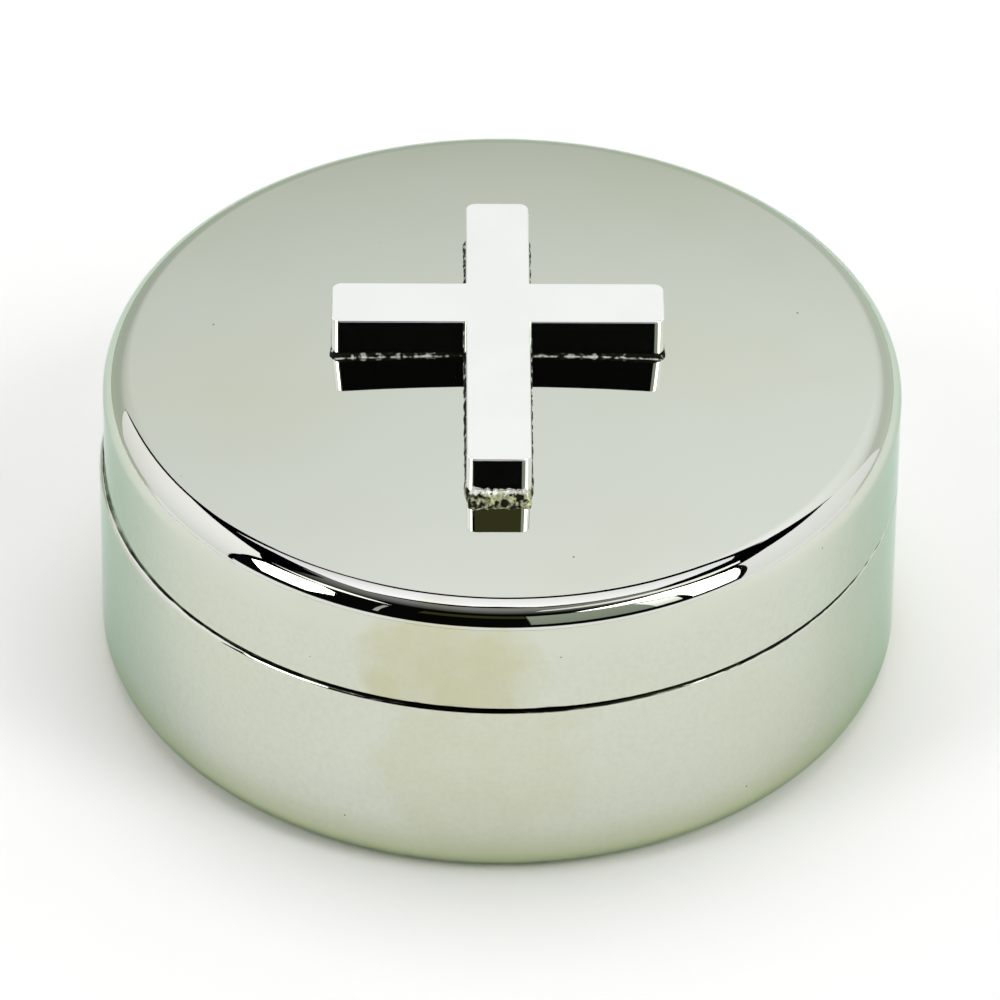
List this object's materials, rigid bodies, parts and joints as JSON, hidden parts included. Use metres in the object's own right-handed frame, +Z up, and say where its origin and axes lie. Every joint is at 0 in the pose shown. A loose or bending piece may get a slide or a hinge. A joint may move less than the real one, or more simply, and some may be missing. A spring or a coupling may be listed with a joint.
{
  "type": "round lidded box",
  "caption": "Low round box of mirror-polished plated metal with a slip-on lift-off lid, an inner guide sleeve and a plain Latin cross soldered on the crowned lid.",
  "frame": {"origin": "middle of the flat face that the box stands on", "axes": "+Z up along the axis of the base cup, -Y towards the foot of the cross, +X to its right"},
  "size_m": [0.08, 0.08, 0.0386],
  "materials": {
    "plated_base": "mirror-polished nickel plate on drawn brass",
    "plated_collar": "nickel plate over fine turning marks",
    "plated_lid": "mirror-polished nickel plate on drawn brass",
    "plated_cross": "mirror-polished nickel plate",
    "solder": "lumpy plated solder"
  },
  "bodies": {
    "base": {"base_cup": "plated_base", "collar_ring": "plated_collar", "collar_solder": "solder"},
    "lid": {"lid_shell": "plated_lid", "cross": "plated_cross", "cross_solder": "solder"}
  },
  "joints": [
    {"name": "lid_lift", "type": "slide", "parent": "base", "child": "lid", "axis": [0, 0, 1], "range_m": [0, 0.06]}
  ]
}
